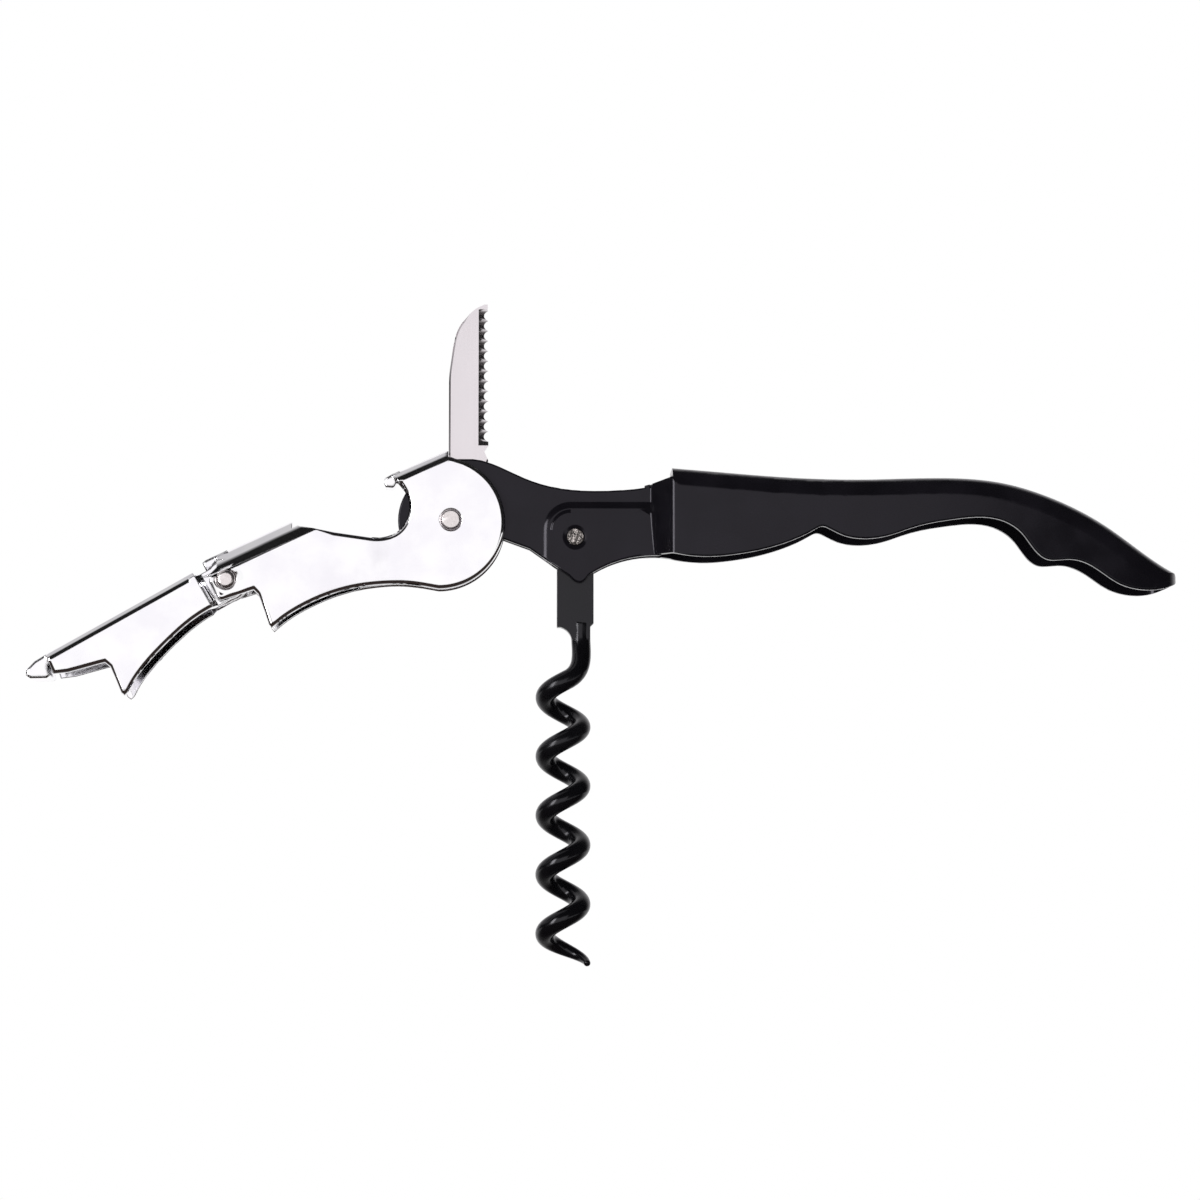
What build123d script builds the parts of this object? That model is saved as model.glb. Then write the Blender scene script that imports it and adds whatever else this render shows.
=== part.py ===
from build123d import *
import math
import os

# Double-hinged waiter's corkscrew, opened for use, in millimetres.
# Frame: the origin is the worm's point, +X runs along the grip, +Z is up and
# Y runs across the tool, which is symmetric about Y = 0.

# Pivots: every outline below is measured from one of them.
worm_reach = 66.1            # worm rivet above the worm's point
worm_offset = 1.86           # worm rivet beside the worm's own axis
jaw_span = 19.26             # main rivet in front of the worm rivet
jaw_rise = 2.6               # main rivet above the worm rivet
arm_span = 34.5              # hinge rivet in front of the main rivet
arm_drop = 9.5               # hinge rivet below the main rivet

# Sheet metal and running gaps.
sheet = 1.0                  # steel strip of the handle, the arm and the foot
side_gap = 0.10              # play beside a piece between two plates
pin_gap = 0.05               # radial play of a hole on its rivet

# Handle.
grip_length = 78.4           # from the mouth of the spine to the tip
grip_width = 12.0
grip_bend = 3.2              # outer radius of the bends along the spine
nose_radius = 5.0            # plan radius at the tip
mouth_reach = 14.94          # worm rivet to the mouth of the spine
mouth_top = 9.1              # and how high its square edge stands above that rivet
joggle_length = 3.2          # how long the step from jaw to grip is
joggle_bend = 1.6            # and the outer radius of its two bends
jaw_end_radius = 8.2         # round end of the jaw about the main rivet
pad_front = 4.1              # embossed pad in front of the worm rivet
pad_top = 4.4                # embossed pad above the worm rivet
pad_corner = 3.4
pad_slope = 58.0             # degrees by which its pressed sides lean
pad_wall = 0.45              # the pad's inner step lies this far inside its outer one

# Blade and worm.
blade_thickness = 1.5
blade_length = 33.9          # main rivet to tip
blade_edge = 5.75            # main rivet to the tips of the teeth
tang_radius = 4.6
tooth_count = 14
tooth_pitch = 1.58
tooth_depth = 0.5
grind_reach = 1.55           # how far the flutes run in from the edge on the near face
worm_pitch = 9.1
worm_diameter = 8.5
wire_radius = 1.5
shank_width = 5.68
shank_thickness = 2.4
shank_drop = 13.8            # worm rivet to the foot of the shank
worm_head_radius = 2.6

# Arm and foot.
arm_hinge_width = 9.0
arm_flare_start = 9.25       # from the main rivet, along the arm
arm_flare_end = 21.0
arm_bend = 3.8               # the outer radius along the ridge; the sheet thins as it is drawn round
hook_bend = 2.0
foot_width = 12.0
foot_bend = 1.5
hinge_end_radius = 3.0       # round ends of the foot's tongue

# Rivets.
main_pin_radius = 1.2
main_head_radius = 1.4
worm_pin_radius = 1.1
worm_head_rim = 1.3
hinge_pin_radius = 1.1
hinge_head_radius = 1.45
rivet_head = 0.35
hinge_dome = 0.7
spacer_radius = 1.9

# Where the pivots stand, and the half widths that follow from the pieces
# stacked on each rivet.
worm_pivot = Vector(worm_offset, worm_reach)
main_pivot = worm_pivot + Vector(-jaw_span, jaw_rise)
hinge_pivot = main_pivot + Vector(-arm_span, -arm_drop)
blade_slot = blade_thickness / 2 + side_gap
jaw_half = blade_slot + sheet
shank_slot = shank_thickness / 2 + side_gap
pad_half = shank_slot + sheet
head_slot = jaw_half + side_gap
head_half = head_slot + sheet
grip_half = grip_width / 2
arm_half = arm_hinge_width / 2
foot_half = foot_width / 2
tongue_half = arm_half - sheet - side_gap
beyond = 40.0                # how far a cutting shape runs past the metal

Z_HIGH = worm_reach + beyond
Z_LOW = worm_reach - beyond


def placed(pivot, points):
    """Points measured from a pivot, in the part's own XZ coordinates."""
    return [pivot + Vector(*point) for point in points]


def side_face(*edges):
    """A closed outline seen from the side, standing in the plane Y = 0."""
    return Plane.XZ * make_face([e for curve in edges for e in curve.edges()])


def thick(face, half):
    """A side face grown to both sides of Y = 0."""
    return extrude(face, half, both=True)


def plan_prism(points):
    """A plan outline given as (x, half width) along +X, mirrored about Y = 0."""
    right = [(x, -y) for x, y in reversed(points)]
    face = make_face(Polyline(*points, *right, close=True))
    return Pos(0, 0, Z_LOW) * extrude(face, Z_HIGH - Z_LOW)


def pin_hole(pivot, radius):
    """A cutter for a rivet hole right across the tool."""
    return thick(Plane.XZ * Pos(pivot.X, pivot.Y) * Circle(radius), beyond)


def disc(pivot, radius):
    return Plane.XZ * Pos(pivot.X, pivot.Y) * Circle(radius)


def offset_path(points, distance):
    """The points of a path moved square to it, to its right-hand side."""
    moved = []
    for i, point in enumerate(points):
        before = points[max(i - 1, 0)]
        after = points[min(i + 1, len(points) - 1)]
        run = (after - before).normalized()
        moved.append(point + Vector(run.Y, -run.X) * distance)
    return moved


def export_node(solid, name):
    solid.label = name
    export_step(solid, f"parts/{name}.step")


# ---------------------------------------------------------------- handle

# Stations of the grip, as a share of its length and a height over the worm rivet.
grip_back = [(0.0, 10.65), (0.104, 10.0), (0.247, 9.2), (0.386, 9.0), (0.544, 9.25), (0.647, 8.6),
             (0.741, 6.5), (0.86, 1.75), (0.954, -3.6), (0.993, -5.5)]
grip_belly = [(0.0, -2.7), (0.059, -3.3), (0.129, -2.9), (0.198, -1.75), (0.252, -0.2), (0.28, 0.95),
              (0.294, 1.4), (0.308, 1.05), (0.336, 0.0), (0.376, -0.5), (0.425, 0.0), (0.479, 1.4),
              (0.554, 2.55), (0.613, 2.9), (0.652, 2.3), (0.687, 0.5), (0.712, -2.1), (0.736, -3.6),
              (0.781, -3.6), (0.825, -4.6), (0.88, -7.4), (0.924, -8.3), (0.984, -7.6)]

# The jaw's edges, measured from the worm rivet: the hollow back and the chin.
jaw_back = [(-13.7, 12.0), (-11.7, 10.95), (-7.06, 8.87), (-2.42, 7.63), (3.77, 7.25), (9.96, 7.66),
            (12.3, 8.05)]
chin_front = [(-7.06, -1.8), (-0.9, -6.1)]
chin_tip = (0.85, -7.05)
chin_back = [(2.0, -6.0), (5.3, -4.2), (8.6, -3.2), (12.0, -2.85)]


def grip_points(stations):
    return placed(worm_pivot, [(mouth_reach + share * grip_length, z) for share, z in stations])


def grip_plan(inset):
    """The grip seen from above, with its joggled front, for the outer skin or inside it."""
    slope = (grip_half - jaw_half) / joggle_length
    shift = inset * math.hypot(1, slope)
    start = worm_pivot.X + mouth_reach - joggle_length
    tip = worm_pivot.X + mouth_reach + grip_length - inset
    wide, narrow = grip_half - inset, jaw_half - inset
    low = Vector(start + (narrow - jaw_half + shift) / slope, narrow)
    high = Vector(start + (wide - jaw_half + shift) / slope, wide)
    half_way = (low + high) / 2
    nose = nose_radius - inset
    shoulder = Vector(tip - nose, wide)
    turned = nose * math.sin(math.radians(45))
    side = Curve() + [
        FilletPolyline((low.X - sheet, narrow), low, half_way, radius=joggle_bend - sheet + inset),
        FilletPolyline(half_way, high, shoulder, radius=joggle_bend - inset),
        ThreePointArc(shoulder, (shoulder.X + turned, wide - nose + turned), (tip, wide - nose)),
        Line((tip, wide - nose), (tip, 0)), Line((low.X - sheet, narrow), (low.X - sheet, 0))]
    face = make_face(side.edges() + mirror(side, Plane.XZ).edges())
    return Pos(0, 0, Z_LOW) * extrude(face, Z_HIGH - Z_LOW)


def grip_shell():
    """The deep-drawn channel of the grip, open below, with its joggled front."""
    back = grip_points(grip_back)
    belly = grip_points(grip_belly)
    front = worm_pivot + Vector(mouth_reach - joggle_length - sheet, 0)
    lip = worm_pivot + Vector(mouth_reach, mouth_top)
    tip = grip_points([(1.0, -6.6)])[0]
    rise = [Vector(front.X, belly[0].Y), Vector(front.X, jaw_top_at_joggle().Y), lip, back[0]]
    outer = thick(side_face(Spline(*back), Spline(back[-1], tip, belly[-1]), Spline(*reversed(belly)),
                            Polyline(belly[0], *rise)), grip_half)
    spine = outer.edges().filter_by(lambda e: e.length > grip_length * 0.8).sort_by(Axis.Z)[-2:]
    outer = fillet(spine, grip_bend)
    roof = offset_path(back, sheet)
    floor = Vector(roof[-1].X, Z_LOW)
    inner = thick(side_face(Spline(*roof), Polyline(roof[-1], floor, Vector(front.X - sheet, Z_LOW),
                            Vector(front.X - sheet, Z_HIGH), Vector(roof[0].X, Z_HIGH), roof[0])),
                  grip_half - sheet)
    ridge = inner.edges().filter_by(lambda e: e.length > grip_length * 0.8).sort_by(Axis.Z)[-2:]
    inner = fillet(ridge, grip_bend - sheet)
    return outer & grip_plan(0), inner & grip_plan(sheet)


def jaw_top_at_joggle():
    return worm_pivot + Vector(*jaw_back[-1])


def jaw_face():
    """One cheek of the jaw: a round end about the main rivet, a hollow back, a pointed chin."""
    back = placed(worm_pivot, jaw_back)
    shoulder = main_pivot + Vector(0.2, back[0].Y - main_pivot.Y + 0.15)
    crest = main_pivot + Vector(3.4, shoulder.Y - main_pivot.Y)
    front = placed(worm_pivot, chin_front)
    rear = placed(worm_pivot, chin_back)
    tip = worm_pivot + Vector(*chin_tip)
    lead = main_pivot + (front[0] - main_pivot) * 0.35
    end = Vector(back[-1].X + sheet, back[-1].Y)
    cheek = side_face(Polyline(shoulder, crest), Spline(crest, *back[1:], tangents=((1, -0.1), (1, 0.15))),
                      Polyline(back[-1], end, Vector(end.X, rear[-1].Y), rear[-1]),
                      Spline(*reversed(rear)), Spline(rear[0], tip, front[-1]),
                      Polyline(front[-1], front[0], lead, main_pivot, shoulder))
    return cheek + disc(main_pivot, jaw_end_radius)


def pad_face(inset):
    """The raised field round the worm rivet, open towards the chin and the grip."""
    left, top = -pad_front + inset, pad_top - inset
    right, low = mouth_reach - joggle_length + 2.5 * sheet, -beyond / 2
    corner = pad_corner - inset
    outline = FilletPolyline((right, low), (left, low), (left, top), (right, top), radius=corner)
    field = make_face(outline.edges() + [Line(outline @ 1, outline @ 0)])
    return Plane.XZ * Pos(worm_pivot.X, worm_pivot.Y) * field


def pad_block():
    """The field's sides lean, as pressed ones do."""
    field = pad_face(0)
    rise = extrude(Pos(0, -jaw_half, 0) * field, pad_half - jaw_half, taper=pad_slope)
    return thick(field, jaw_half) + rise + mirror(rise, Plane.XZ)


def make_handle():
    cheek = jaw_face()
    skin, hollow = grip_shell()
    pad = thick(cheek, pad_half) & pad_block()
    slot_end = worm_pivot.X + mouth_reach - joggle_length + sheet
    gap = Plane.XZ * Pos(slot_end - beyond, worm_reach) * Rectangle(2 * beyond, 2 * beyond)
    slot = thick(gap, blade_slot)
    pocket = thick(pad_face(pad_wall), shank_slot)
    body = thick(cheek, jaw_half) + pad + skin - hollow - slot - pocket
    return body - pin_hole(main_pivot, main_pin_radius) - pin_hole(worm_pivot, worm_pin_radius)


# ---------------------------------------------------------------- blade

# The blade's back leaves the jaw at its root, and drops to the tip as given across from the main
# rivet and up from the tip. Its heel is given from the last tooth's foot.
blade_root = (-0.4, 7.2)
blade_point = [(-0.4, -12.3), (0.0, -8.4), (0.56, -5.2), (1.22, -3.5), (2.35, -2.0), (4.05, -0.5),
               (5.1, 0.0)]
blade_heel = [(-0.65, -0.88), (0.0, -2.38)]
heel_run = (-1.55, 5.6)      # where the heel runs out on the tang, from the teeth and the main rivet
edge_break = 0.15            # how much the tip stands back from the teeth


def make_blade():
    top = main_pivot + Vector(0, blade_length)
    back = placed(main_pivot, [blade_root]) + placed(top, blade_point)
    tip = top + Vector(blade_edge - edge_break, 0)
    heel = top + Vector(blade_edge, -tooth_count * tooth_pitch)
    heel_low = placed(heel, blade_heel) + placed(main_pivot + Vector(blade_edge, 0), [heel_run])
    tang = main_pivot + Vector(-tang_radius * 0.9, 2.0)
    outline = side_face(Line(back[0], back[1]), Spline(*back[1:], tangents=((0, 1), (1, 0.45))),
                        Polyline(back[-1], tip, heel, *heel_low, main_pivot, tang, back[0]))
    blade = thick(outline + disc(main_pivot, tang_radius), blade_thickness / 2)
    return blade - tooth_flutes() - pin_hole(main_pivot, main_pin_radius + pin_gap)


def tooth_flutes():
    """A bevel ground from the near face, and the round flutes across it that leave the teeth."""
    radius = (tooth_pitch ** 2 / 4 + tooth_depth ** 2) / (2 * tooth_depth)
    lean = math.atan2(grind_reach, blade_thickness)
    root = main_pivot.X + blade_edge - grind_reach
    top = main_pivot.Y + blade_length
    toothed = (tooth_count - 0.5) * tooth_pitch
    bevel_reach = 2 * blade_thickness
    along = Rot(0, 0, -math.degrees(lean))
    ridge = Pos(root, -blade_thickness / 2, 0)
    bevel = ridge * Pos(0, 0, top - toothed / 2 - tooth_pitch / 2) * along
    cutters = bevel * Pos(bevel_reach, 0, 0) * Box(2 * bevel_reach, 8 * blade_thickness, toothed)
    for i in range(1, tooth_count):
        flute = ridge * Pos(0, 0, top - i * tooth_pitch) * along * Pos(radius - tooth_depth, 0, 0)
        cutters += flute * Rot(90, 0, 0) * Cylinder(radius, 8 * blade_thickness)
    stop = Pos(root + beyond / 2, 0, top) * Box(beyond, beyond, 4 * beyond)
    return cutters & stop


# ---------------------------------------------------------------- worm

neck_width = 2.87            # flat neck between the shank and the wire
neck_rise = 8.17             # from where the wire leaves the coil to the shank's foot
neck_drop = 2.6              # straight wire under the shank's foot
neck_lap = 0.6               # and how far it runs up inside the shank
tip_radius = 0.5             # the wire where it ends in a point
tip_turn = 200               # degrees over which the wire thins to its point
leave_angle = 290            # degrees round the axis at which the wire leaves the coil
join_turn = 4                # degrees by which the point and the neck run into the coil
join_step = 0.02             # and how much thinner than the coil they are there
coil_radius = worm_diameter / 2 - wire_radius
coil_rise = worm_reach - shank_drop - neck_rise - tip_radius
coil_turn = 360 * coil_rise / worm_pitch + join_turn


def wire_at(turn):
    """The wire's radius; the turn is in degrees up from the point."""
    thin = max(0.0, 1 - turn / tip_turn)
    return wire_radius - (wire_radius - tip_radius) * thin ** 1.5


def coil_point(turn):
    """A point of the wire's centre line, thin wire keeping to the outside of the coil."""
    radius = worm_diameter / 2 - wire_at(turn)
    a = coil_angle(turn)
    return Vector(radius * math.cos(a), radius * math.sin(a),
                  tip_radius + worm_pitch * (turn - join_turn) / 360)


def coil_angle(turn):
    """The direction of a point of the wire from the worm's axis, in radians."""
    return math.radians(leave_angle + turn - coil_turn)


def coil_heading(turn):
    return (coil_point(turn + 0.001) - coil_point(turn - 0.001)).normalized()


def wire_section(turn, radius):
    a = coil_angle(turn)
    outward = Vector(math.cos(a), math.sin(a))
    along = coil_heading(turn)
    square_to = Plane(origin=coil_point(turn), x_dir=outward - along * outward.dot(along), z_dir=along)
    return square_to * Circle(radius)


def make_worm():
    rise = worm_pitch * (coil_turn - tip_turn) / 360
    start = Pos(0, 0, coil_point(tip_turn).Z) * Rot(0, 0, math.degrees(coil_angle(tip_turn)))
    helix = start * Helix(worm_pitch, rise, coil_radius)
    coil = sweep(wire_section(tip_turn, wire_radius), helix, is_frenet=True)
    point = loft([wire_section(turn, min(wire_at(turn), wire_radius - join_step))
                  for turn in (0, 30, 60, 90, 120, 150, 180, tip_turn + join_turn)])
    tip = Pos(coil_point(join_turn)) * Sphere(tip_radius - join_step)
    leave = coil_turn - join_turn
    neck_top = Vector(coil_radius, 0, worm_reach - shank_drop + neck_lap)
    bend = Spline(coil_point(leave), neck_top - Vector(0, 0, neck_drop), neck_top,
                  tangents=(coil_heading(leave), (0, 0, 1)))
    neck = sweep(wire_section(leave, wire_radius - join_step), bend)
    return point + coil + neck + tip + worm_shank()


def worm_shank():
    half = shank_width / 2
    cheek = Vector(half, -half * 0.6)
    foot = worm_pivot + Vector(0, -shank_drop)
    left, right = foot.X - half, foot.X + half
    neck_left = coil_radius - neck_width / 2
    neck_right = neck_left + neck_width
    corner, waist = (left + 0.6, foot.Y - 0.1), (neck_left, foot.Y - 2.0)
    outline = side_face(Polyline((right, foot.Y + 0.5), worm_pivot + cheek,
                                 worm_pivot + Vector(-cheek.X, cheek.Y), (left, corner[1]), corner),
                        Spline(corner, (neck_left - 0.5, foot.Y - 0.9), waist),
                        Polyline(waist, (neck_right, waist[1]), (neck_right, foot.Y), (right, foot.Y + 0.5)))
    blank = thick(outline + disc(worm_pivot, worm_head_radius), shank_thickness / 2)
    return blank - pin_hole(worm_pivot, worm_pin_radius + pin_gap)


# ---------------------------------------------------------------- arm

# The arm's cheeks, measured from the main rivet and from the hinge rivet. The belly and the brow are
# given as a share of the way between their ends, and how far they rise off the straight line.
head_centre = (-1.9, -0.45)
head_radius = 10.3
arm_belly = [(0.068, 0.71), (0.183, 1.78), (0.343, 2.69), (0.55, 3.11), (0.793, 2.23), (0.972, 0.45)]
arm_tooth = [(7.5, -7.15), (7.05, -7.55), (6.6, -7.05), (5.7, -4.3), (4.95, -2.3), (4.2, -1.6)]
arm_heel = [(-0.6, -3.15), (-1.3, -2.9), (-2.6, -0.5), (-2.5, 0.8), (-1.5, 1.9), (-1.5, 4.0)]
arm_ridge = [(-1.5, 4.0), (9.6, 9.2)]
arm_brow = [(0.13, -0.58), (0.561, -0.376), (1.0, 0.0)]
cap_notch = [(-12.6, -2.75), (-10.4, -2.75), (-8.0, -1.7), (-6.6, 0.6), (-6.5, 3.0), (-7.6, 5.3),
             (-8.6, 6.35)]
hook_ridge = [(-9.2, 7.1), (-1.2, 10.7), (-0.45, 10.75)]
hook_lip = [(-8.0, 7.62), (-9.2, 7.1), (-10.2, 6.5), (-10.4, 5.8), (-10.1, 5.1), (-8.9, 5.0),
            (-8.4, 5.9)]
bridge_parting = 9.2         # main rivet to where the ridge's bridge ends and the hook's begins
stop_lip = [(0.0, 4.7), (-3.3, 3.15), (-3.8, 2.7), (-3.2, 1.5), (-2.4, 1.9), (-1.6, 3.0)]


def arm_plan(inset):
    wide, narrow = arm_half - inset, head_half - inset
    ends = [main_pivot.X - arm_flare_end, main_pivot.X - arm_flare_start]
    return [(hinge_pivot.X - beyond, wide), (ends[0], wide), (ends[1], narrow),
            (main_pivot.X + beyond, narrow)]


def between(first, last, stations):
    """Points given as a share of the way from first to last and a rise off the straight line."""
    return [first + (last - first) * share + Vector(0, rise) for share, rise in stations]


def arm_face():
    head = main_pivot + Vector(*head_centre)
    tooth = placed(hinge_pivot, arm_tooth)
    heel = placed(hinge_pivot, arm_heel)
    ridge = placed(hinge_pivot, arm_ridge)
    notch = placed(main_pivot, cap_notch)
    brow = between(ridge[1], notch[0], arm_brow)
    hook = placed(main_pivot, hook_ridge)
    crown = Vector(hook[-1].X, head.Y + math.sqrt(head_radius ** 2 - (hook[-1].X - head.X) ** 2))
    under = Vector(head.X, head.Y - head_radius)
    belly = between(under, tooth[0], arm_belly)
    rim = ThreePointArc(crown, head + Vector(head_radius, 0), under)
    return side_face(rim, Spline(under, *belly, tooth[0]), Polyline(*tooth, *heel, ridge[1], *brow),
                     Spline(*notch), Polyline(notch[-1], *hook, crown))


def arm_hollow():
    """What the channel encloses: everything under its two bridges, and all else in between."""
    ridge = offset_path(placed(hinge_pivot, arm_ridge), sheet)
    hook = offset_path(placed(main_pivot, hook_ridge[:2]), sheet)
    gap = main_pivot.X - bridge_parting
    west, east = ridge[0].X - beyond, main_pivot.X + beyond
    return side_face(Polyline(Vector(west, Z_LOW), Vector(west, ridge[0].Y), *ridge,
                              Vector(ridge[1].X, Z_HIGH), Vector(gap, Z_HIGH), Vector(gap, hook[0].Y),
                              *hook, Vector(east, hook[1].Y), Vector(east, Z_LOW), close=True))


def bend_edges(solid, points, half, radius):
    """Rounds the two long edges of a bridge that runs between two points."""
    a, b = points

    def on_bridge(edge):
        mid = edge @ 0.5
        off = Vector(mid.X, mid.Z) - a
        run = b - a
        along = off.dot(run) / run.length
        return (abs(off.X * run.Y - off.Y * run.X) / run.length < 0.02 and 0 < along < run.length
                and abs(abs(mid.Y) - half) < 0.02 and edge.length > run.length / 2)

    return fillet(solid.edges().filter_by(on_bridge), radius)


def make_arm():
    ridge = placed(hinge_pivot, arm_ridge)
    hook = placed(main_pivot, hook_ridge[:2])
    outer = thick(arm_face(), arm_half) & plan_prism(arm_plan(0))
    outer = bend_edges(outer, ridge, arm_half, arm_bend)
    outer = bend_edges(outer, hook, head_half, hook_bend)
    inner = thick(arm_hollow(), arm_half) & plan_prism(arm_plan(sheet))
    inner = bend_edges(inner, offset_path(ridge, sheet), arm_half - sheet, arm_bend - 1.8 * sheet)
    inner = bend_edges(inner, offset_path(hook, sheet), head_half - sheet, hook_bend - sheet)
    lips = thick(side_face(Polyline(*placed(main_pivot, hook_lip), close=True)), head_half - hook_bend * 0.5)
    lips += thick(side_face(Polyline(*placed(hinge_pivot, stop_lip), close=True)), arm_half - arm_bend * 0.6)
    arm = outer - inner + lips
    return arm - pin_hole(main_pivot, main_pin_radius + pin_gap) - pin_hole(hinge_pivot, hinge_pin_radius)


# ---------------------------------------------------------------- foot

# The foot lies along its own back: x runs to the hinge rivet and z off the back.
foot_tilt = 29.6             # slope of the foot's back at rest, in degrees
foot_back = 3.42             # hinge rivet to the outer face of the back
foot_step = -3.9             # where the wide channel steps in to the tongue
foot_reach = -30.0           # where the cheeks end, beyond the hinge rivet
foot_edge = [(-4.0, -2.9), (-8.2, -3.2), (-12.2, -4.1), (-16.1, -5.3), (-19.5, -6.75), (-21.5, -8.0)]
foot_tooth = [(-22.1, -8.15), (-22.4, -7.5), (-22.1, -5.0), (-21.9, -3.2), (-22.3, -2.2), (-23.2, -1.95),
              (-27.8, -0.8)]
foot_lip = [(-29.5, 3.42), (-31.6, 3.35), (-33.3, 2.8), (-33.75, 2.1), (-33.4, 1.4), (-31.2, 0.2),
            (-30.6, 0.3), (-30.3, 1.6), (-29.5, 2.42)]


def foot_plan(inset):
    wide, narrow = foot_half - inset, tongue_half - inset
    step = foot_step - inset * 0.6
    return [(-beyond, wide), (step, wide), (step + 0.9, narrow), (beyond, narrow)]


def make_foot():
    """A channel with toothed cheeks; it steps in to a tongue that turns inside the arm."""
    origin = Vector(0, 0)
    corner = Vector(foot_step, foot_back)
    cheek = side_face(Polyline(corner, foot_edge[0]), Spline(*foot_edge),
                      Polyline(foot_edge[-1], *foot_tooth, (foot_reach, 0.1), (foot_reach + 0.5, foot_back),
                               corner))
    tongue = side_face(Polyline((foot_step - 1, 2.7), (-1.0, 2.7), (0, 0), (-0.5, -2.9),
                                (foot_step - 1, -2.9), close=True)) + disc(origin, hinge_end_radius)
    outer = bend_edges(thick(cheek, foot_half), [Vector(foot_reach, foot_back), corner], foot_half, foot_bend)
    outer = (outer + thick(tongue, foot_half)) & plan_prism_local(foot_plan(0))
    roof = [Vector(foot_reach - 1, foot_back - sheet), Vector(foot_step, foot_back - sheet)]
    inner = thick(side_face(Polyline(*roof, (foot_step, beyond), (beyond, beyond), (beyond, -beyond),
                                     (foot_reach - 1, -beyond), close=True)), foot_half - sheet)
    inner = bend_edges(inner, roof, foot_half - sheet, foot_bend - sheet)
    inner = inner & plan_prism_local(foot_plan(sheet))
    lip = thick(side_face(Polyline(*foot_lip, close=True)), foot_half - foot_bend)
    foot = outer - inner + lip - pin_hole(origin, hinge_pin_radius + pin_gap)
    return Pos(hinge_pivot.X, 0, hinge_pivot.Y) * Rot(0, -foot_tilt, 0) * foot


def plan_prism_local(points):
    right = [(x, -y) for x, y in reversed(points)]
    return Pos(0, 0, -beyond) * extrude(make_face(Polyline(*points, *right, close=True)), 2 * beyond)


# ---------------------------------------------------------------- rivets

def rivet(pivot, pin_radius, head_rim, grip, head, rounding):
    """A riveted pin across the tool with a head on each side."""
    pin = thick(disc(pivot, pin_radius), grip)
    for side in (-1, 1):
        cap = Pos(pivot.X, side * (grip + head / 2), pivot.Y) * Rot(90, 0, 0) * Cylinder(head_rim, head)
        rim = cap.edges().filter_by(GeomType.CIRCLE).sort_by(Axis.Y)[0 if side < 0 else -1]
        pin += fillet(rim, rounding)
    return pin


def make_spacer():
    """The sleeve that keeps the foot's two tongues apart on the hinge rivet."""
    ring = Circle(spacer_radius) - Circle(hinge_pin_radius)
    return thick(Plane.XZ * Pos(hinge_pivot.X, hinge_pivot.Y) * ring, tongue_half - sheet - side_gap)


if __name__ == "__main__":
    os.makedirs("parts", exist_ok=True)
    export_node(make_handle(), "handle")
    export_node(make_blade(), "blade")
    export_node(make_worm(), "worm")
    export_node(make_arm(), "lever_arm")
    export_node(make_foot(), "lever_foot")
    export_node(rivet(main_pivot, main_pin_radius, main_head_radius, head_half + pin_gap, rivet_head, 0.15),
                "main_rivet")
    export_node(rivet(worm_pivot, worm_pin_radius, worm_head_rim, pad_half, rivet_head * 0.7, 0.12),
                "worm_rivet")
    export_node(rivet(hinge_pivot, hinge_pin_radius, hinge_head_radius, arm_half, hinge_dome,
                      hinge_dome * 0.9), "hinge_rivet")
    export_node(make_spacer(), "hinge_spacer")
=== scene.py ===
from math import radians

import bmesh
import bpy
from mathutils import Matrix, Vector


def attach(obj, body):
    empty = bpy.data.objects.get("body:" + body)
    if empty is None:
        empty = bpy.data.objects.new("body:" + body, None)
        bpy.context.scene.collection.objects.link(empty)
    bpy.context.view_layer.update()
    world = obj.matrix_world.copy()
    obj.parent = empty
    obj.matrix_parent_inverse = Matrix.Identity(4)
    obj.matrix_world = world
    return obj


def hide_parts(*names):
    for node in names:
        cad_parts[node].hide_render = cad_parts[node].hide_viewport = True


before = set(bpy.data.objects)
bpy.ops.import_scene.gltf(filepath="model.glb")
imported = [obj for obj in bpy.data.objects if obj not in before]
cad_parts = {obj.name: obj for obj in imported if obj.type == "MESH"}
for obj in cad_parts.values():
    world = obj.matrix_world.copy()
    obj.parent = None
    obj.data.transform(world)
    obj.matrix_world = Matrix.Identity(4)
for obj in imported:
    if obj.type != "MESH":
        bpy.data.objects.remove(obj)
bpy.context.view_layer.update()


# ---------------------------------------------------------------- camera
# It stands in front of the tool's side, a little below it and to the left, and looks along +Y
# through a long lens.
camera_place = Vector((-0.0100, -0.580, 0.0080))
camera_aim = Vector((0.00572, 0, 0.0565))
camera_lens, camera_sensor = 112.6, 36
camera_nearest = 0.01

camera_data = bpy.data.cameras.new("camera")
camera_data.lens = camera_lens
camera_data.sensor_width = camera_sensor
camera_data.clip_start = camera_nearest
camera = bpy.data.objects.new("camera", camera_data)
camera.location = camera_place
camera.rotation_euler = (camera_aim - camera_place).to_track_quat("-Z", "Y").to_euler()
bpy.context.scene.collection.objects.link(camera)
bpy.context.scene.camera = camera
bpy.context.scene.view_settings.view_transform = "Standard"


# ---------------------------------------------------------------- room
# A white room for the eye and for matt surfaces. Metal and enamel also show what stands in it: a
# white panel round the camera with dark walls beside it, a grey ceiling on the left, a low grey
# side on the right and a white backdrop behind the tool.
panel_front = (0.0, -0.1)             # each pair is where a side's soft edge starts and ends
panel_left, panel_right = (-0.74, -0.66), (0.24, 0.32)
panel_low, panel_high = (-0.36, -0.29), (0.28, 0.36)
panel_white = 1.06
ceiling_rise, ceiling_front, ceiling_left = (0.10, 0.40), (-0.40, -0.10), (-0.06, -0.26)
ceiling_grey = 0.60
backdrop_edge = (0.30, 0.80)
side_right, side_top = (0.72, 0.97), (-0.25, 0.02)
side_grey = 0.42
dark_wall = 0.011
mirrored_tint = (1.0, 0.985, 1.0, 1)


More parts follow.
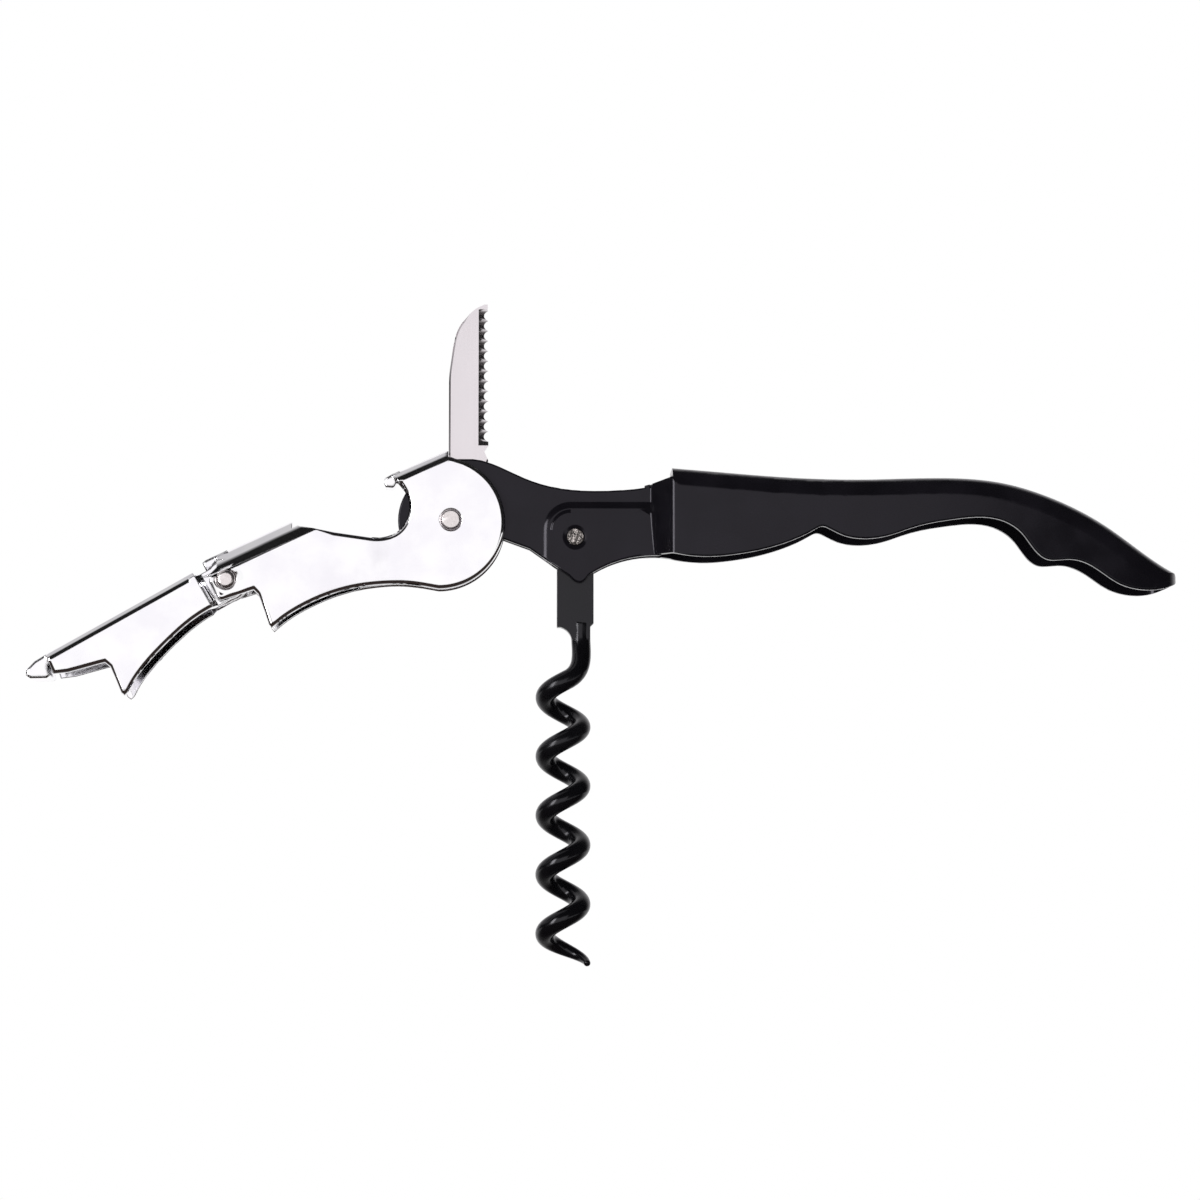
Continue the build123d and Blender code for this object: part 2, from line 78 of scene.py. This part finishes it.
def feed(tree, socket, value):
    """Set a socket to a number, or link another socket to it."""
    if isinstance(value, (int, float)):
        socket.default_value = value
    else:
        tree.links.new(value, socket)


def soft_step(tree, value, low, high, top=1.0):
    """0 before low and top beyond high, with a smooth change between. Low may be above high."""
    step = tree.nodes.new("ShaderNodeMapRange")
    step.interpolation_type = "SMOOTHSTEP"
    for label, amount in (("Value", value), ("From Min", low), ("From Max", high), ("To Max", top)):
        feed(tree, step.inputs[label], amount)
    return step.outputs["Result"]


def combine(tree, operation, first, *others):
    """Math nodes in a chain, on sockets or numbers, taken from left to right."""
    for other in others or (0.0,):
        node = tree.nodes.new("ShaderNodeMath")
        node.operation = operation
        feed(tree, node.inputs[0], first)
        feed(tree, node.inputs[1], other)
        first = node.outputs[0]
    return first


world = bpy.data.worlds.new("room")
bpy.context.scene.world = world
world.use_nodes = True
tree = world.node_tree
tree.nodes.clear()
direction = tree.nodes.new("ShaderNodeSeparateXYZ")
tree.links.new(tree.nodes.new("ShaderNodeTexCoord").outputs["Generated"], direction.inputs[0])
x, y, z = direction.outputs
panel = soft_step(tree, y, *panel_front, panel_white)
for axis, near, far in ((x, panel_left, panel_right), (z, panel_low, panel_high)):
    window = combine(tree, "SUBTRACT", soft_step(tree, axis, *near), soft_step(tree, axis, *far))
    panel = combine(tree, "MULTIPLY", panel, window)
ceiling = combine(tree, "MULTIPLY", soft_step(tree, z, *ceiling_rise, ceiling_grey),
                  soft_step(tree, y, *ceiling_front), soft_step(tree, x, *ceiling_left))
side = combine(tree, "MULTIPLY", soft_step(tree, x, *side_right, side_grey),
               combine(tree, "SUBTRACT", 1.0, soft_step(tree, z, *side_top)))
backdrop = soft_step(tree, y, *backdrop_edge)
mirrored_room = tree.nodes.new("ShaderNodeBackground")
mirrored_room.inputs["Color"].default_value = mirrored_tint
tree.links.new(combine(tree, "MAXIMUM", panel, ceiling, backdrop, side, dark_wall),
               mirrored_room.inputs["Strength"])
plain_room = tree.nodes.new("ShaderNodeBackground")
plain_room.inputs["Color"].default_value = (1, 1, 1, 1)
ray = tree.nodes.new("ShaderNodeLightPath").outputs
by_ray = tree.nodes.new("ShaderNodeMixShader")
tree.links.new(ray["Is Glossy Ray"], by_ray.inputs["Fac"])
tree.links.new(plain_room.outputs[0], by_ray.inputs[1])
tree.links.new(mirrored_room.outputs[0], by_ray.inputs[2])
tree.links.new(by_ray.outputs[0], tree.nodes.new("ShaderNodeOutputWorld").inputs["Surface"])


# ---------------------------------------------------------------- floor
# A plain white floor well below the tool, which hangs clear of it. It glows an even white to the
# eye.
# Metal sees it with a painted reflection: painted shade below and in front of the tool, and painted
# light towards the backdrop and under the panel.
floor_drop, floor_size = 0.15, 6.0
floor_lit = (0.02, 0.35)              # from here to here along Y it brightens
floor_under_panel = (-0.56, -0.70)
# Painted shade: what metal sees of the floor below and in front of the tool.
painted_floor_shade, floor_white = (0.030, 0.022, 0.020), (1.0, 1.0, 1.0)
floor_matt = (0.9, 0.9, 0.9, 1)


def between(tree, share, low, high):
    """A number or a colour from low to high as the share goes from 0 to 1."""
    mix = tree.nodes.new("ShaderNodeMix")
    if isinstance(low, tuple):
        mix.data_type = "RGBA"
        low, high = (*low, 1), (*high, 1)
        first, second, result = mix.inputs[6], mix.inputs[7], mix.outputs[2]
    else:
        first, second, result = mix.inputs[2], mix.inputs[3], mix.outputs[0]
    tree.links.new(share, mix.inputs[0])
    first.default_value, second.default_value = low, high
    return result


def object_axes(tree):
    """X, Y and Z of a point on the piece, in metres."""
    axes = tree.nodes.new("ShaderNodeSeparateXYZ")
    tree.links.new(tree.nodes.new("ShaderNodeTexCoord").outputs["Object"], axes.inputs[0])
    return axes.outputs


mesh = bpy.data.meshes.new("floor")
bm = bmesh.new()
bmesh.ops.create_grid(bm, x_segments=1, y_segments=1, size=floor_size / 2)
bmesh.ops.translate(bm, verts=bm.verts, vec=(0, 0, -floor_drop))
bm.to_mesh(mesh)
bm.free()
floor = bpy.data.objects.new("floor", mesh)
bpy.context.scene.collection.objects.link(floor)

material = bpy.data.materials.new("white floor")
material.use_nodes = True
tree = material.node_tree
matt = tree.nodes["Principled BSDF"]
matt.inputs["Base Color"].default_value = floor_matt
matt.inputs["Roughness"].default_value = 0.9
ray = tree.nodes.new("ShaderNodeLightPath").outputs
y = object_axes(tree)["Y"]
whitened = combine(tree, "MAXIMUM", soft_step(tree, y, *floor_lit),
                   soft_step(tree, y, *floor_under_panel),
                   combine(tree, "SUBTRACT", 1.0, ray["Is Glossy Ray"]))
# The floor glows though it is no lamp: white to the eye, painted light and painted shade to metal.
seen = tree.nodes.new("ShaderNodeEmission")
tree.links.new(between(tree, whitened, painted_floor_shade, floor_white), seen.inputs["Color"])
direct = combine(tree, "MAXIMUM", ray["Is Camera Ray"], ray["Is Glossy Ray"],
                 ray["Is Transmission Ray"])
by_ray = tree.nodes.new("ShaderNodeMixShader")
tree.links.new(direct, by_ray.inputs["Fac"])
tree.links.new(matt.outputs[0], by_ray.inputs[1])
tree.links.new(seen.outputs[0], by_ray.inputs[2])
tree.links.new(by_ray.outputs[0], tree.nodes["Material Output"].inputs["Surface"])
mesh.materials.append(material)


# ---------------------------------------------------------------- lamp
# One tall soft lamp in front and to the left, beside the panel. It puts a line of light on each
# bend that turns that way.
lamp_place = Vector((-0.43, -0.42, 0.13))
lamp_aim = Vector((0.0, 0.0, 0.06))
lamp_width, lamp_height = 0.16, 0.34
lamp_watts = 1.5

lamp_data = bpy.data.lights.new("tall lamp", "AREA")
lamp_data.shape = "RECTANGLE"
lamp_data.size, lamp_data.size_y = lamp_width, lamp_height
lamp_data.energy = lamp_watts
lamp = bpy.data.objects.new("tall lamp", lamp_data)
lamp.location = lamp_place
lamp.rotation_euler = (lamp_aim - lamp_place).to_track_quat("-Z", "Y").to_euler()
bpy.context.scene.collection.objects.link(lamp)


# ---------------------------------------------------------------- handle
# One steel sheet, pressed into a channel that is open below and stepped in to the jaw, with a
# raised field for the worm's rivet. Its bends are soft, and the coat of satin black enamel rounds
# its cut edges.
enamel_tone = ((0.0040, 0.0036, 0.0050), (0.0060, 0.0054, 0.0075))
enamel_roughness = (0.14, 0.20)
enamel_tint = (0.93, 0.89, 1.0, 1)
field_left, field_top, field_right = -0.0022, 0.0705, 0.0136
field_corner, field_slope, field_rise = 0.0034, 0.0012, 0.00030
bow_from, bow_radius = 0.022, 0.60    # from here to its tip the grip's cheeks bow in
worm_rivet_at = (0.00186, 0.0661)     # X and Z of the rivet's axis
step_cut = 0.0118                     # the cheeks' flats are divided here, left of the step
step_bends = (0.0130, 0.0155)         # between these the step's outer bends are rounded
step_end = 0.0180                     # from its first bend to here the step's rims stay sharp
step_round = 0.0007
handle_rim = 0.00032
handle_inside = 0.0017                # rims nearer the middle plane than this stay sharp


def closed_mesh(node, weld=0.00003, flat_within=0.5):
    """The node's own shape as one closed bmesh, with whole faces where it is flat."""
    bm = bmesh.new()
    bm.from_mesh(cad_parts[node].data)
    bmesh.ops.remove_doubles(bm, verts=bm.verts, dist=weld)
    bmesh.ops.dissolve_limit(bm, angle_limit=radians(flat_within), verts=bm.verts, edges=bm.edges)
    return bm


def creases(bm, sharper_than, wanted=lambda edge: True):
    """The edges that bend by more degrees than this."""
    return [edge for edge in bm.edges if edge.is_manifold
            and edge.calc_face_angle(0) > radians(sharper_than) and wanted(edge)]


def outer_rim(bm, beyond, wanted=lambda place: True, edge_on=0.2, face_on=0.98):
    """The creases round a sheet's flat cheeks, on the side away from the tool's middle plane and
    further than this from it."""
    def outside(edge):
        wall, cheek = sorted((face.normal.y for face in edge.link_faces), key=abs)
        outwards = cheek * edge.verts[0].co.y > 0
        return (abs(wall) < edge_on and abs(cheek) > face_on and outwards
                and all(abs(vert.co.y) > beyond and wanted(vert.co) for vert in edge.verts))
    return creases(bm, sharper_than=50, wanted=outside)


def round_off(bm, edges, radius, segments):
    """Round these edges, or chamfer them where there is one segment."""
    bmesh.ops.bevel(bm, geom=edges, offset=radius, offset_type="OFFSET", segments=segments,
                    profile=0.5, affect="EDGES", clamp_overlap=False, loop_slide=True,
                    material=-1)


def make_piece(name, bm, material, body, stands_for):
    """A finished piece in place: smooth, with flat flats, and sharp where an edge is left sharp."""
    for face in bm.faces:
        face.smooth = True
    for edge in creases(bm, sharper_than=35):
        edge.smooth = False
    mesh = bpy.data.meshes.new(name)
    bm.to_mesh(mesh)
    bm.free()
    mesh.materials.append(material)
    piece = bpy.data.objects.new(name, mesh)
    bpy.context.scene.collection.objects.link(piece)
    flats = piece.modifiers.new("flats", "WEIGHTED_NORMAL")
    flats.keep_sharp = True
    flats.weight = 90
    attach(piece, body)
    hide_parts(stands_for)


def effect_group(name, inputs, outputs):
    """An empty shader node group, with what it takes and what it gives as numbers."""
    group = bpy.data.node_groups.new(name, "ShaderNodeTree")
    for label, value in inputs.items():
        socket = group.interface.new_socket(label, in_out="INPUT", socket_type="NodeSocketFloat")
        socket.default_value = value
    for label in outputs:
        group.interface.new_socket(label, in_out="OUTPUT", socket_type="NodeSocketFloat")
    taken, given = group.nodes.new("NodeGroupInput"), group.nodes.new("NodeGroupOutput")
    return group, taken.outputs, given.inputs


def object_noise(tree, scale, detail, stretch=(1, 1, 1)):
    """Noise fixed to the piece. A stretch under 1 draws it out along that axis."""
    place = tree.nodes.new("ShaderNodeMapping")
    place.inputs["Scale"].default_value = stretch
    tree.links.new(tree.nodes.new("ShaderNodeTexCoord").outputs["Object"], place.inputs["Vector"])
    noise = tree.nodes.new("ShaderNodeTexNoise")
    noise.inputs["Detail"].default_value = detail
    tree.links.new(place.outputs[0], noise.inputs["Vector"])
    feed(tree, noise.inputs["Scale"], scale)
    return noise.outputs["Fac"]


def length(tree, across, upward):
    """The length of a line that goes this far across and this far upward."""
    squares = [combine(tree, "MULTIPLY", part, part) for part in (across, upward)]
    return combine(tree, "SQRT", combine(tree, "ADD", *squares))


def place_group(tree, group, **values):
    """The group as a node, with these inputs; an underscore stands for a space."""
    node = tree.nodes.new("ShaderNodeGroup")
    node.node_tree = group
    for label, value in values.items():
        node.inputs[label.replace("_", " ")].default_value = value
    return node.outputs


def shaded(name, metallic):
    """A new material, its node tree and its shader."""
    material = bpy.data.materials.new(name)
    material.use_nodes = True
    shader = material.node_tree.nodes["Principled BSDF"]
    shader.inputs["Metallic"].default_value = metallic
    return material, material.node_tree, shader


def raised(tree, height, under=None):
    """A Bump node for a height in metres, over another normal than the mesh's if one is given."""
    bump = tree.nodes.new("ShaderNodeBump")
    bump.inputs["Distance"].default_value = 1.0
    tree.links.new(height, bump.inputs["Height"])
    if under:
        tree.links.new(under, bump.inputs["Normal"])
    return bump


# The skin of a coat or a plate: broad waves, a fine grain, and patches that vary its gloss.
skin, taken, given = effect_group(
    "skin", {"Wave Scale": 90.0, "Wave Height": 0.0, "Grain Scale": 1500.0, "Grain Height": 0.0},
    ["Height", "Patches"])
waves = object_noise(skin, taken["Wave Scale"], detail=1.0)
grain = object_noise(skin, taken["Grain Scale"], detail=2.0)
height = combine(skin, "ADD", combine(skin, "MULTIPLY", waves, taken["Wave Height"]),
                 combine(skin, "MULTIPLY", grain, taken["Grain Height"]))
skin.links.new(height, given["Height"])
patches = object_noise(skin, scale=160.0, detail=5.0)
skin.links.new(soft_step(skin, patches, low=0.35, high=0.70), given["Patches"])

# The dent that setting a rivet leaves in the sheet round it.
dent, taken, given = effect_group(
    "dent", {"Centre X": 0.0, "Centre Z": 0.0, "Inner": 0.001, "Outer": 0.002, "Depth": 0.0001},
    ["Height"])
place = object_axes(dent)
away = length(dent, combine(dent, "SUBTRACT", place["X"], taken["Centre X"]),
              combine(dent, "SUBTRACT", place["Z"], taken["Centre Z"]))
height = soft_step(dent, away, taken["Inner"], taken["Outer"], taken["Depth"])
dent.links.new(height, given["Height"])

# A field with a left and a top side and a round corner, pressed up by a soft slope round it.
field, taken, given = effect_group(
    "field", {"Left": 0.0, "Top": 0.0, "Corner": 0.003, "Slope": 0.001, "Rise": 0.0003}, ["Height"])
place = object_axes(field)
beyond = []
for first, second in ((taken["Left"], place["X"]), (place["Z"], taken["Top"])):
    past_side = combine(field, "SUBTRACT", first, second)
    beyond.append(combine(field, "MAXIMUM", combine(field, "ADD", past_side, taken["Corner"]), 0.0))
slope_end = combine(field, "ADD", taken["Corner"], taken["Slope"])
height = soft_step(field, length(field, *beyond), slope_end, taken["Corner"], taken["Rise"])
field.links.new(height, given["Height"])

enamel, tree, shader = shaded("satin black enamel", 0)
coat = place_group(tree, skin, Wave_Scale=70.0, Wave_Height=0.00006, Grain_Scale=2600.0,
                   Grain_Height=0.0000012)
tree.links.new(between(tree, coat["Patches"], *enamel_tone), shader.inputs["Base Color"])
tree.links.new(between(tree, coat["Patches"], *enamel_roughness), shader.inputs["Roughness"])
shader.inputs["Specular IOR Level"].default_value = 0.25
shader.inputs["Specular Tint"].default_value = enamel_tint
round_worm = place_group(tree, dent, Centre_X=worm_rivet_at[0], Centre_Z=worm_rivet_at[1],
                         Inner=0.0011, Outer=0.0021, Depth=0.00022)
raised_field = place_group(tree, field, Left=field_left, Top=field_top, Corner=field_corner,
                           Slope=field_slope, Rise=field_rise)
pressed = raised(tree, raised_field["Height"])
x = object_axes(tree)["X"]
tree.links.new(combine(tree, "LESS_THAN", x, field_right), pressed.inputs["Strength"])
along_bow = combine(tree, "MAXIMUM", combine(tree, "SUBTRACT", x, bow_from), 0.0)
bowed = combine(tree, "MULTIPLY", along_bow, along_bow, -0.5 / bow_radius)
height = combine(tree, "ADD", coat["Height"], round_worm["Height"], bowed)
tree.links.new(raised(tree, height, under=pressed.outputs["Normal"]).outputs["Normal"],
               shader.inputs["Normal"])


def on_step(edge):
    """Whether an edge lies on the outside of the pressed step."""
    outside = all(face.normal.y * edge.verts[0].co.y > 0 for face in edge.link_faces)
    return outside and all(step_bends[0] < vert.co.x < step_bends[1] for vert in edge.verts)


bm = closed_mesh("handle")
bmesh.ops.bisect_plane(bm, geom=[*bm.verts, *bm.edges, *bm.faces], plane_co=(step_cut, 0, 0),
                       plane_no=(1, 0, 0))
round_off(bm, creases(bm, sharper_than=30, wanted=on_step), step_round, segments=4)
off_step = outer_rim(bm, handle_inside, lambda place: not step_bends[0] < place.x < step_end)
round_off(bm, off_step, handle_rim, segments=3)
make_piece("handle_sheet", bm, enamel, "grip", "handle")


# ---------------------------------------------------------------- blade
# A steel blank, ground flat on both sides, with teeth ground into its edge. Fine grinding lines
# run along it, and its back and heel are broken by polishing.
blade_tone = ((0.70, 0.655, 0.675), (0.80, 0.765, 0.785))
blade_roughness = (0.14, 0.26)
grinding_depth = 0.0000006
blade_rim = 0.00028
teeth_from = (-0.0150, 0.0795)        # right of this X and above this Z its rims stay sharp

ground_steel, tree, shader = shaded("ground steel", 1)
lines = object_noise(tree, scale=5200.0, detail=2.0, stretch=(1, 1, 0.02))
clouds = object_noise(tree, scale=110.0, detail=3.0, stretch=(1, 1, 0.4))
tree.links.new(between(tree, clouds, *blade_tone), shader.inputs["Base Color"])
tree.links.new(between(tree, lines, *blade_roughness), shader.inputs["Roughness"])
ground = raised(tree, combine(tree, "MULTIPLY", lines, grinding_depth))
tree.links.new(ground.outputs["Normal"], shader.inputs["Normal"])

bm = closed_mesh("blade")
back_and_heel = outer_rim(bm, 0, lambda place: place.x < teeth_from[0] or place.z < teeth_from[1])
round_off(bm, back_and_heel, blade_rim, segments=1)
make_piece("foil_blade", bm, ground_steel, "foil_blade", "blade")


# ---------------------------------------------------------------- worm
# Steel wire, coiled below and flattened above into a shank that turns on its own rivet. A slick
# black coat helps it into the cork.
coating_tone = ((0.0020, 0.0019, 0.0025), (0.0032, 0.00304, 0.0040))
coating_roughness = (0.17, 0.27)
coating_tint = (0.95, 0.94, 1.0, 1)
shank_above = 0.050
shank_rim = 0.00012

coating, tree, shader = shaded("slick black coating", 0)
coat = place_group(tree, skin, Wave_Scale=200.0, Wave_Height=0.00002, Grain_Scale=2400.0,
                   Grain_Height=0.0000008)
tree.links.new(between(tree, coat["Patches"], *coating_tone), shader.inputs["Base Color"])
tree.links.new(between(tree, coat["Patches"], *coating_roughness), shader.inputs["Roughness"])
shader.inputs["Specular IOR Level"].default_value = 0.37
shader.inputs["Specular Tint"].default_value = coating_tint
tree.links.new(raised(tree, coat["Height"]).outputs["Normal"], shader.inputs["Normal"])

bm = closed_mesh("worm")
shank = creases(bm, sharper_than=50,
                wanted=lambda edge: all(vert.co.z > shank_above for vert in edge.verts))
round_off(bm, shank, shank_rim, segments=2)
make_piece("coiled_worm", bm, coating, "screw", "worm")


# ---------------------------------------------------------------- lever arm and foot
# Two channels of steel sheet, blanked and bent, that turn on the rivets through their cheeks.
# They are tumbled, so that their edges are round, and plated with bright chrome.
chrome_tone = ((0.965, 0.965, 0.97), (0.90, 0.89, 0.925))
chrome_roughness = (0.03, 0.09)
main_rivet_at = (-0.0174, 0.0687)     # X and Z of the rivet's axis
hinge_dent_at = (-0.0516, 0.0584)     # a little right of the hinge's rivet and below it
broken_edge, lip_edge = 0.00025, 0.0008
foot_lip = -0.0785                    # left of this X lies the foot's lip
turned_in = 0.0026                    # nearer the middle plane than this lie the turned-in lips
sheet_rim = 0.00070
arm_inside, foot_inside = 0.0028, 0.0045    # rims nearer the middle plane stay sharp
foot_neck = 0.058                     # above this Z the foot's rims stay sharp

chrome, tree, shader = shaded("bright chrome", 1)
plate = place_group(tree, skin, Wave_Scale=110.0, Wave_Height=0.00012, Grain_Scale=900.0,
                    Grain_Height=0.0000006)
tree.links.new(between(tree, plate["Patches"], *chrome_tone), shader.inputs["Base Color"])
tree.links.new(between(tree, plate["Patches"], *chrome_roughness), shader.inputs["Roughness"])
round_hinge = place_group(tree, dent, Centre_X=hinge_dent_at[0], Centre_Z=hinge_dent_at[1],
                          Inner=0.0013, Outer=0.0031, Depth=0.00032)
round_main = place_group(tree, dent, Centre_X=main_rivet_at[0], Centre_Z=main_rivet_at[1],
                         Inner=0.0013, Outer=0.0018, Depth=0.00008)
place = object_axes(tree)
on_lip = combine(tree, "MAXIMUM", combine(tree, "LESS_THAN", place["X"], foot_lip),
                 combine(tree, "LESS_THAN", combine(tree, "ABSOLUTE", place["Y"]), turned_in))
rounded = tree.nodes.new("ShaderNodeBevel")
rounded.samples = 8
tree.links.new(between(tree, on_lip, broken_edge, lip_edge), rounded.inputs["Radius"])
height = combine(tree, "ADD", round_hinge["Height"], round_main["Height"], plate["Height"])
tree.links.new(raised(tree, height, under=rounded.outputs["Normal"]).outputs["Normal"],
               shader.inputs["Normal"])

bm = closed_mesh("lever_arm")
round_off(bm, outer_rim(bm, arm_inside), sheet_rim, segments=5)
make_piece("arm_channel", bm, chrome, "arm", "lever_arm")

bm = closed_mesh("lever_foot")
below_neck = outer_rim(bm, foot_inside, lambda place: place.z < foot_neck)
round_off(bm, below_neck, sheet_rim, segments=5)
make_piece("foot_channel", bm, chrome, "foot", "lever_foot")


# ---------------------------------------------------------------- rivets
# Plain steel pins turned with a low head. The worm's is set with a punch, which leaves its end
# rough. A sleeve of the same steel keeps the foot's tongues apart on the hinge's.
turned_tone = ((0.68, 0.63, 0.62), (0.96, 0.91, 0.905))
turned_grain, turned_height = 1400.0, 0.00004
punched_tone = ((0.02, 0.02, 0.02), (0.64, 0.585, 0.56))
punched_grain, punched_height = 1250.0, 0.00065
pin_roughness = (0.22, 0.36)


def pin_steel(name, tone, grain, height):
    """Steel as the tool left it, with a grain of this scale and height."""
    material, tree, shader = shaded(name, 1)
    marks = object_noise(tree, grain, detail=3.0)
    tree.links.new(between(tree, marks, *tone), shader.inputs["Base Color"])
    tree.links.new(between(tree, marks, *pin_roughness), shader.inputs["Roughness"])
    marked = raised(tree, combine(tree, "MULTIPLY", marks, height))
    tree.links.new(marked.outputs["Normal"], shader.inputs["Normal"])
    return material


turned_steel = pin_steel("turned steel", turned_tone, turned_grain, turned_height)
punched_steel = pin_steel("punched steel", punched_tone, punched_grain, punched_height)

for pin, steel, body in (("main_rivet", turned_steel, "grip"),
                         ("worm_rivet", punched_steel, "grip"),
                         ("hinge_rivet", turned_steel, "arm"),
                         ("hinge_spacer", turned_steel, "arm")):
    make_piece(pin + "_pin", closed_mesh(pin), steel, body, pin)
